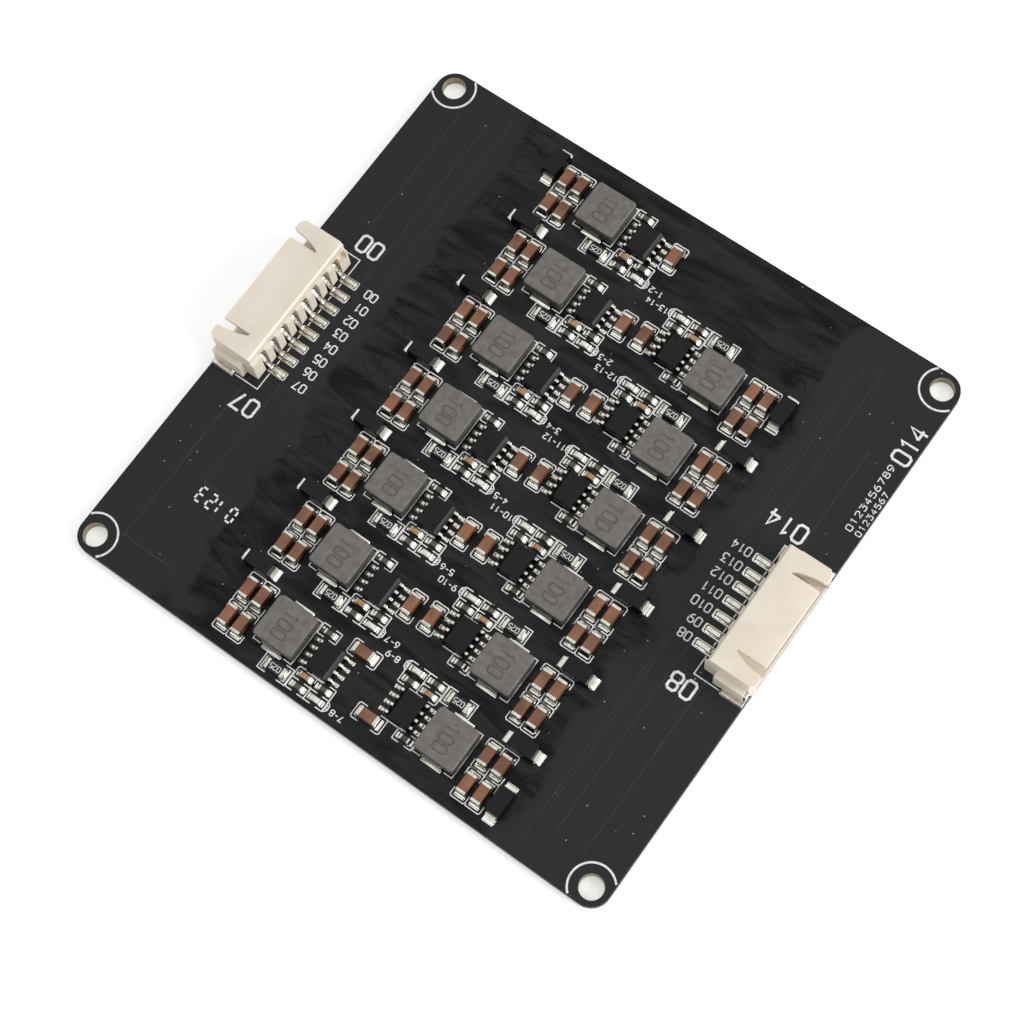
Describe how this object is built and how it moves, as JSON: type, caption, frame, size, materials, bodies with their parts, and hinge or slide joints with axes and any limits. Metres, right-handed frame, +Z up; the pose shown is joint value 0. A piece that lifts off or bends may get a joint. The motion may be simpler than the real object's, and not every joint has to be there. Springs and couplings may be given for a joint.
{
  "type": "active balancer board",
  "caption": "Square black circuit board with two columns of inductor channels and a side-entry wire header at each of two opposite edges.",
  "frame": {"origin": "centre of the board's underside", "axes": "+Z up through the components, +X towards the seven-way header, +Y along the channel columns"},
  "size_m": [0.094, 0.093, 0.008],
  "materials": {
    "black_soldermask": "satin soldermask on glass-fibre laminate",
    "inductor_moulding": "matte pressed iron powder",
    "tinned_copper": "bright tin plate",
    "black_epoxy": "matte moulded epoxy",
    "brown_ceramic": "smooth fired ceramic",
    "black_glaze": "glossy glaze",
    "tan_ceramic": "smooth fired ceramic",
    "white_lens": "milky resin",
    "cream_nylon": "satin moulded nylon"
  },
  "bodies": {
    "root": {"circuit_board": "black_soldermask", "inductor_01": "inductor_moulding", "inductor_02": "inductor_moulding", "inductor_03": "inductor_moulding", "inductor_04": "inductor_moulding", "inductor_05": "inductor_moulding", "inductor_06": "inductor_moulding", "inductor_07": "inductor_moulding", "inductor_08": "inductor_moulding", "inductor_09": "inductor_moulding", "inductor_10": "inductor_moulding", "inductor_11": "inductor_moulding", "inductor_12": "inductor_moulding", "inductor_13": "inductor_moulding", "inductor_terminals": "tinned_copper", "controller_01": "black_epoxy", "controller_02": "black_epoxy", "controller_03": "black_epoxy", "controller_04": "black_epoxy", "controller_05": "black_epoxy", "controller_06": "black_epoxy", "controller_07": "black_epoxy", "controller_08": "black_epoxy", "controller_09": "black_epoxy", "controller_10": "black_epoxy", "controller_11": "black_epoxy", "controller_12": "black_epoxy", "controller_13": "black_epoxy", "controller_leads": "tinned_copper", "capacitors_01": "brown_ceramic", "capacitors_02": "brown_ceramic", "capacitors_03": "brown_ceramic", "capacitors_04": "brown_ceramic", "capacitors_05": "brown_ceramic", "capacitors_06": "brown_ceramic", "capacitors_07": "brown_ceramic", "capacitors_08": "brown_ceramic", "capacitors_09": "brown_ceramic", "capacitors_10": "brown_ceramic", "capacitors_11": "brown_ceramic", "capacitors_12": "brown_ceramic", "capacitors_13": "brown_ceramic", "capacitor_end_caps": "tinned_copper", "diodes": "black_epoxy", "diode_leads": "tinned_copper", "sense_resistors": "black_glaze", "sense_resistor_end_caps": "tinned_copper", "chip_resistors": "black_glaze", "chip_resistor_end_caps": "tinned_copper", "bypass_capacitors": "tan_ceramic", "bypass_capacitor_end_caps": "tinned_copper", "indicators": "white_lens", "indicator_end_caps": "tinned_copper", "left_header_housing": "cream_nylon", "left_header_contacts": "tinned_copper", "left_header_tabs": "tinned_copper", "right_header_housing": "cream_nylon", "right_header_contacts": "tinned_copper", "right_header_tabs": "tinned_copper"}
  },
  "joints": []
}
